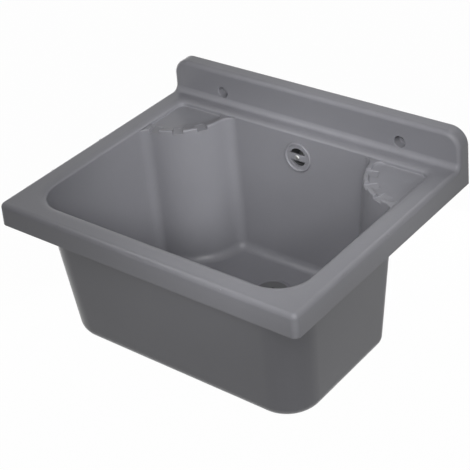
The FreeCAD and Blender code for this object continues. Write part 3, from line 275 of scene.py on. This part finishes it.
tool_marks, given, result = new_group("tool_marks", {"Mark Scale": 2500}, ("Marks", "Film"))
place = add_node(tool_marks, "ShaderNodeTexCoord").outputs["Object"]
stretch = add_node(tool_marks, "ShaderNodeMapping", inputs={"Scale": (1, 1, ALONG_MARKS)})
tool_marks.links.new(place, stretch.inputs["Vector"])
marks = noise(tool_marks, stretch.outputs["Vector"], given.outputs["Mark Scale"], 2, 0.5)
film = noise(tool_marks, place, FILM_WAVES, 3, 0.6)
tool_marks.links.new(marks, result.inputs["Marks"])
tool_marks.links.new(film, result.inputs["Film"])
print("group", tool_marks.name)

# %% [markdown]
# ## Finishes
# Each finish is a Principled shader. The group's flow drives the colour between two near tones, the
# grain drives the roughness, and a Bump node turns the grain into a very fine relief. Pictures could
# be wrapped round the pieces instead, but each piece would have to be unwrapped for them first.

# %% Finish helpers
def between(tree, factor, low, high):
    """A value that goes from low to high as the factor goes from 0.3 to 0.7."""
    made = add_node(tree, "ShaderNodeMapRange", inputs={
        "From Min": 0.3, "From Max": 0.7, "To Min": low, "To Max": high})
    tree.links.new(factor, made.inputs["Value"])
    return made.outputs["Result"]


def two_tones(tree, factor, first, second):
    """A colour that drifts from the first tone to the second."""
    made = add_node(tree, "ShaderNodeMix", data_type="RGBA")
    for socket in made.inputs:
        if socket.type == "RGBA":
            socket.default_value = (*(first if socket.name == "A" else second), 1)
    tree.links.new(between(tree, factor, 0, 1), made.inputs["Factor"])
    return next(socket for socket in made.outputs if socket.type == "RGBA")


def relief(tree, height, strength, depth):
    """A normal with a fine relief of a depth in metres."""
    made = add_node(tree, "ShaderNodeBump", inputs={"Strength": strength, "Distance": depth})
    tree.links.new(height, made.inputs["Height"])
    return made.outputs["Normal"]


# %% Plastic and metal helpers
def new_finish(name, group, scales):
    """A material with a Principled shader and one of the shared groups."""
    material = bpy.data.materials.new(name)
    material.use_nodes = True
    tree = material.node_tree
    shader = tree.nodes["Principled BSDF"]
    effect = add_node(tree, "ShaderNodeGroup", node_tree=group)
    for socket, value in scales.items():
        effect.inputs[socket].default_value = value
    return material, tree, shader, effect


def moulded_finish(name, tones, gloss, grain, specular=0.5):
    """Moulded plastic or rubber: two tones, a range of roughness, and the grain's waves and depth."""
    waves, strength, depth = grain
    material, tree, shader, skin = new_finish(name, moulded_skin, {"Grain Scale": waves})
    tree.links.new(two_tones(tree, skin.outputs["Flow"], *tones), shader.inputs["Base Color"])
    tree.links.new(between(tree, skin.outputs["Grain"], *gloss), shader.inputs["Roughness"])
    tree.links.new(relief(tree, skin.outputs["Grain"], strength, depth), shader.inputs["Normal"])
    shader.inputs["Specular IOR Level"].default_value = specular
    return material


MARK_STRENGTH = 0.3


def metal_finish(name, tones, gloss, marks):
    """Bare or plated metal: two tones, a range of roughness, and the tool marks' waves and depth."""
    waves, depth = marks
    material, tree, shader, metal = new_finish(name, tool_marks, {"Mark Scale": waves})
    tree.links.new(two_tones(tree, metal.outputs["Film"], *tones), shader.inputs["Base Color"])
    tree.links.new(between(tree, metal.outputs["Film"], *gloss), shader.inputs["Roughness"])
    tree.links.new(relief(tree, metal.outputs["Marks"], MARK_STRENGTH, depth), shader.inputs["Normal"])
    shader.inputs["Metallic"].default_value = 1
    return material


# %% [markdown]
# The sink, the rosette and the drain flange share one satin grey. Its specular level is low, because
# the photograph shows little gloss on the walls. The parts below are white and pale grey plastic, the
# seals are rubber, and the small screws, inserts and the pull ring are metal.

# %% Finishes
finishes = {
    "grey_plastic": moulded_finish("satin_grey_plastic", ((0.221, 0.221, 0.241), (0.234, 0.234, 0.255)),
                                   (0.27, 0.34), (1100, 0.10, 0.05 * MM), 0.3),
    "dark_plastic": moulded_finish("dark_grey_plastic", ((0.050, 0.051, 0.054), (0.058, 0.059, 0.062)),
                                   (0.36, 0.46), (1200, 0.12, 0.05 * MM)),
    "black_rubber": moulded_finish("black_rubber", ((0.018, 0.018, 0.018), (0.026, 0.026, 0.025)),
                                   (0.58, 0.78), (1600, 0.25, 0.06 * MM)),
    "grey_rubber": moulded_finish("grey_rubber", ((0.120, 0.121, 0.126), (0.135, 0.136, 0.142)),
                                  (0.50, 0.66), (1500, 0.20, 0.06 * MM)),
    "white_plastic": moulded_finish("white_plastic", ((0.72, 0.72, 0.70), (0.77, 0.77, 0.755)),
                                    (0.34, 0.44), (1000, 0.10, 0.05 * MM)),
    "hose_plastic": moulded_finish("hose_plastic", ((0.60, 0.60, 0.58), (0.66, 0.66, 0.645)),
                                   (0.42, 0.54), (1300, 0.12, 0.05 * MM)),
    "steel": metal_finish("screw_steel", ((0.40, 0.40, 0.40), (0.47, 0.47, 0.47)),
                          (0.40, 0.52), (2600, 0.02 * MM)),
    "chrome": metal_finish("chrome_plate", ((0.60, 0.61, 0.62), (0.65, 0.66, 0.67)),
                           (0.14, 0.22), (3000, 0.005 * MM)),
    "brass": metal_finish("insert_brass", ((0.66, 0.47, 0.20), (0.74, 0.55, 0.26)),
                          (0.26, 0.40), (2400, 0.02 * MM)),
}
slot_of_node = {node: nodes[node].data.materials[0].name for node in nodes}
for node, solid in nodes.items():
    solid.material_slots[0].material = finishes[slot_of_node[node]]
print("finishes:", ", ".join(finishes))

# %% [markdown]
# ## Softened copies
# The solids have knife edges where two faces meet, and a moulded or turned edge never is one: it
# shows as a thin line of light. A Bevel modifier would do it too, but bmesh lets us pick the edges by
# their angle. A copy of each solid is welded, its flat triangles are joined, its hard edges get a
# small round, and weighted normals keep the large faces flat. The copy then stands for its solid.

# %% Edge rounds
HARD_ANGLE = math.radians(38)
FLAT_ANGLE = math.radians(0.4)
WELD = 0.001 * MM
EDGE_ROUNDS = {
    "basin": 0.7 * MM,
    "strainer_flange": 0.35 * MM,
    "drain_plug": 0.5 * MM,
    "overflow_rosette": 0.35 * MM,
    "overflow_screw": 0.2 * MM,
    "strainer_screw": 0.25 * MM,
    "overflow_elbow": 0.4 * MM,
    "hose_nut_upper": 0.3 * MM,
    "hose_nut_lower": 0.3 * MM,
}
print("rounds in mm:", {node: round(edge / MM, 2) for node, edge in EDGE_ROUNDS.items()})


# %% Piece helpers
def dressed_piece(name, mesh, node):
    """An object that stands for a node, rides on its body and wears its finish."""
    piece = bpy.data.objects.new(name, mesh)
    bpy.context.scene.collection.objects.link(piece)
    mesh.materials.clear()
    mesh.materials.append(finishes[slot_of_node[node]])
    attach(piece, body_of_node[node])
    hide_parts(node)
    return piece


def applied(piece):
    """Gives a piece the mesh that its modifiers make, and takes the modifiers away."""
    bpy.context.view_layer.update()
    seen = piece.evaluated_get(bpy.context.evaluated_depsgraph_get())
    made = bpy.data.meshes.new_from_object(seen)
    piece.modifiers.clear()
    piece.data = made


# %% Softened copies
def soft_copy(node, edge, detail=None):
    """A welded copy of a solid with a small round on its hard edges, and a detail added to it."""
    bm = bmesh.new()
    bm.from_mesh(nodes[node].data)
    bmesh.ops.remove_doubles(bm, verts=bm.verts, dist=WELD)
    bmesh.ops.dissolve_limit(bm, angle_limit=FLAT_ANGLE, verts=bm.verts, edges=bm.edges)
    hard = [line for line in bm.edges if len(line.link_faces) == 2 and line.calc_face_angle() > HARD_ANGLE]
    bmesh.ops.bevel(bm, geom=hard, offset=edge, offset_type="OFFSET", segments=2, profile=0.5,
                    affect="EDGES", clamp_overlap=False, material=-1)
    if detail:
        detail(bm)
    for face in bm.faces:
        face.smooth = True
    mesh = bpy.data.meshes.new(f"soft_{node}")
    bm.to_mesh(mesh)
    bm.free()
    if "custom_normal" in mesh.attributes:
        mesh.attributes.remove(mesh.attributes["custom_normal"])
    piece = dressed_piece(f"soft_{node}", mesh, node)
    weigh = piece.modifiers.new("weighted_normals", "WEIGHTED_NORMAL")
    weigh.keep_sharp = False
    applied(piece)
    print(piece.name, "hard edges", len(hard), "faces", len(piece.data.polygons))


for node, edge in EDGE_ROUNDS.items():
    soft_copy(node, edge)

# %% [markdown]
# ## Waste tail thread
# The solid of the waste body has a plain tail as wide as its thread. Here the tail is cut across below
# its shoulder and drawn in to the thread's root. One section of the thread is then spun round the axis
# with a small step down at each turn of the spin, which makes a screw.

# %% Thread sizes
DRAIN_Y = -152 * MM
TAIL_TOP = -318.5 * MM
TAIL_FOOT = -344.5 * MM
CREST = 23.9 * MM
ROOT = 22.6 * MM
THREAD_PITCH = 2.309 * MM
RUN_OUT = 2 * MM
TURN_STEPS = 72
TAIL_EDGE = 0.4 * MM
# Shares of the thread's height and of its pitch, from one foot of the section to the other
THREAD_SHAPE = ((-0.1, -0.46), (0.62, -0.2), (0.93, -0.08), (1.0, 0.0),
                (0.93, 0.08), (0.62, 0.2), (-0.1, 0.46))
print("thread", round(2 * CREST / MM, 1), "mm across,", round(THREAD_PITCH / MM, 3), "mm pitch")


# %% Waste tail thread
def cut_thread(bm):
    """Draws the tail in to the root of its thread and winds the thread round it."""
    bmesh.ops.bisect_plane(bm, geom=bm.verts[:] + bm.edges[:] + bm.faces[:], dist=WELD,
                           plane_co=(0, DRAIN_Y, TAIL_TOP - RUN_OUT), plane_no=(0, 0, 1))
    middle = Vector((0, DRAIN_Y, 0))
    for corner in bm.verts:
        out = Vector((corner.co.x, corner.co.y - DRAIN_Y, 0))
        if out.length > ROOT and corner.co.z < TAIL_TOP - RUN_OUT + WELD:
            corner.co = middle + out.normalized() * ROOT + Vector((0, 0, corner.co.z))
    top = TAIL_TOP - RUN_OUT - THREAD_PITCH / 2
    foot = TAIL_FOOT + THREAD_PITCH
    section = [bm.verts.new((ROOT + high * (CREST - ROOT), DRAIN_Y, top + along * THREAD_PITCH))
               for high, along in THREAD_SHAPE]
    lines = [bm.edges.new(pair) for pair in zip(section, section[1:])]
    steps = round((top - foot) / THREAD_PITCH * TURN_STEPS)
    bmesh.ops.spin(bm, geom=section + lines, cent=(0, DRAIN_Y, 0), axis=(0, 0, 1), steps=steps,
                   angle=steps / TURN_STEPS * math.tau, dvec=(0, 0, -THREAD_PITCH / TURN_STEPS))
    print("thread turns", round(steps / TURN_STEPS, 1))


soft_copy("waste_body", TAIL_EDGE, cut_thread)

# %% [markdown]
# ## Overflow hose
# The hose is blown plastic with rounded ribs. Modelling each rib on the bend would be hard, so it is
# made straight first: half a section is drawn once, spun round the Z axis, and then a Curve modifier
# bends the whole tube along its route, which runs down the back wall, round one bend and into the
# waste body. The route is a Bezier curve with four points, and its handles make the bend round.

# %% Hose sizes
HOSE_START = Vector((0, -34.157, -99.543)) * MM
BEND_START = Vector((0, -45.349, -259.592)) * MM
BEND_END = Vector((0, -86, -297.5)) * MM
HOSE_END = Vector((0, -108, -297.5)) * MM
BEND_TURN = math.radians(86)
BEND_RADIUS = 40.75 * MM
HOSE_RIBS = 44
RIB_PITCH = 5 * MM
BORE_RADIUS = 7.5 * MM
CUFF_RADIUS = 9.2 * MM
ROOT_RADIUS = 9.3 * MM
CREST_RADIUS = 11 * MM
COLLAR_HEIGHT = 3 * MM
HOSE_SEGMENTS = 40
BORE_STEPS = 60
SHARP_TURN = math.radians(50)
# Shares of a rib's pitch and of its height along one rounded rib
RIB_SHAPE = ((0.0, 0.0), (0.24, 0.0), (0.30, 0.12), (0.40, 0.78), (0.47, 0.97), (0.55, 1.0), (0.70, 1.0),
             (0.78, 0.97), (0.85, 0.78), (0.95, 0.12))
print("hose", HOSE_RIBS, "ribs,", round(2 * CREST_RADIUS / MM, 1), "mm across")


# %% Straight hose
def hose_section(length):
    """Half a section of the straight hose: radius and travel from one face to the other and back."""
    cuff = (length - HOSE_RIBS * RIB_PITCH) / 2
    rise = CREST_RADIUS - ROOT_RADIUS
    ends = [(BORE_RADIUS, 0), (CREST_RADIUS, 0),
            (CREST_RADIUS, COLLAR_HEIGHT), (CUFF_RADIUS, COLLAR_HEIGHT)]
    points = list(ends)
    points.append((CUFF_RADIUS, cuff - RIB_PITCH / 4))
    for rib in range(HOSE_RIBS):
        start = cuff + rib * RIB_PITCH
        points += [(ROOT_RADIUS + high * rise, start + share * RIB_PITCH) for share, high in RIB_SHAPE]
    points.append((ROOT_RADIUS, length - cuff))
    points.append((CUFF_RADIUS, length - cuff + RIB_PITCH / 4))
    points += [(radius, length - travel) for radius, travel in reversed(ends)]
    points += [(BORE_RADIUS, length * (1 - step / BORE_STEPS)) for step in range(1, BORE_STEPS)]
    return points


def straight_hose(length):
    """The hose along the Z axis, with its section spun into a closed tube."""
    bm = bmesh.new()
    corners = [bm.verts.new((radius, 0, travel)) for radius, travel in hose_section(length)]
    lines = [bm.edges.new((corners[index - 1], corners[index])) for index in range(len(corners))]
    bmesh.ops.spin(bm, geom=corners + lines, cent=(0, 0, 0), axis=(0, 0, 1), angle=math.tau,
                   steps=HOSE_SEGMENTS, use_merge=True)
    bmesh.ops.remove_doubles(bm, verts=bm.verts, dist=WELD)
    bmesh.ops.recalc_face_normals(bm, faces=bm.faces)
    for face in bm.faces:
        face.smooth = True
    mesh = bpy.data.meshes.new("ribbed_hose")
    bm.to_mesh(mesh)
    bm.free()
    return mesh


# %% Hose route
def hose_route():
    """The route as a curve, with handles a third of each straight and round on the bend."""
    data = bpy.data.curves.new("hose_route", "CURVE")
    data.dimensions = "3D"
    data.resolution_u = 64
    spline = data.splines.new("BEZIER")
    spots = (HOSE_START, BEND_START, BEND_END, HOSE_END)
    spline.bezier_points.add(len(spots) - 1)
    round_handle = 4 / 3 * math.tan(BEND_TURN / 4) * BEND_RADIUS
    down = (BEND_START - HOSE_START) / 3
    along = (HOSE_END - BEND_END) / 3
    handles = ((-down, down), (-down, down.normalized() * round_handle),
               (-along.normalized() * round_handle, along), (-along, along))
    for point, spot, (before, after) in zip(spline.bezier_points, spots, handles):
        point.handle_left_type = "FREE"
        point.handle_right_type = "FREE"
        point.co = spot
        point.handle_left = spot + before
        point.handle_right = spot + after
    route = bpy.data.objects.new("hose_route", data)
    bpy.context.scene.collection.objects.link(route)
    length = (BEND_START - HOSE_START).length + BEND_RADIUS * BEND_TURN + (HOSE_END - BEND_END).length
    return route, length


# %% Overflow hose
route, hose_length = hose_route()
hose = dressed_piece("ribbed_hose", straight_hose(hose_length), "overflow_hose")
bend = hose.modifiers.new("route", "CURVE")
bend.object = route
bend.deform_axis = "POS_Z"
applied(hose)
bpy.data.objects.remove(route)
hose.data.set_sharp_from_angle(angle=SHARP_TURN)
print("hose", round(hose_length / MM, 1), "mm,", len(hose.data.polygons), "faces")
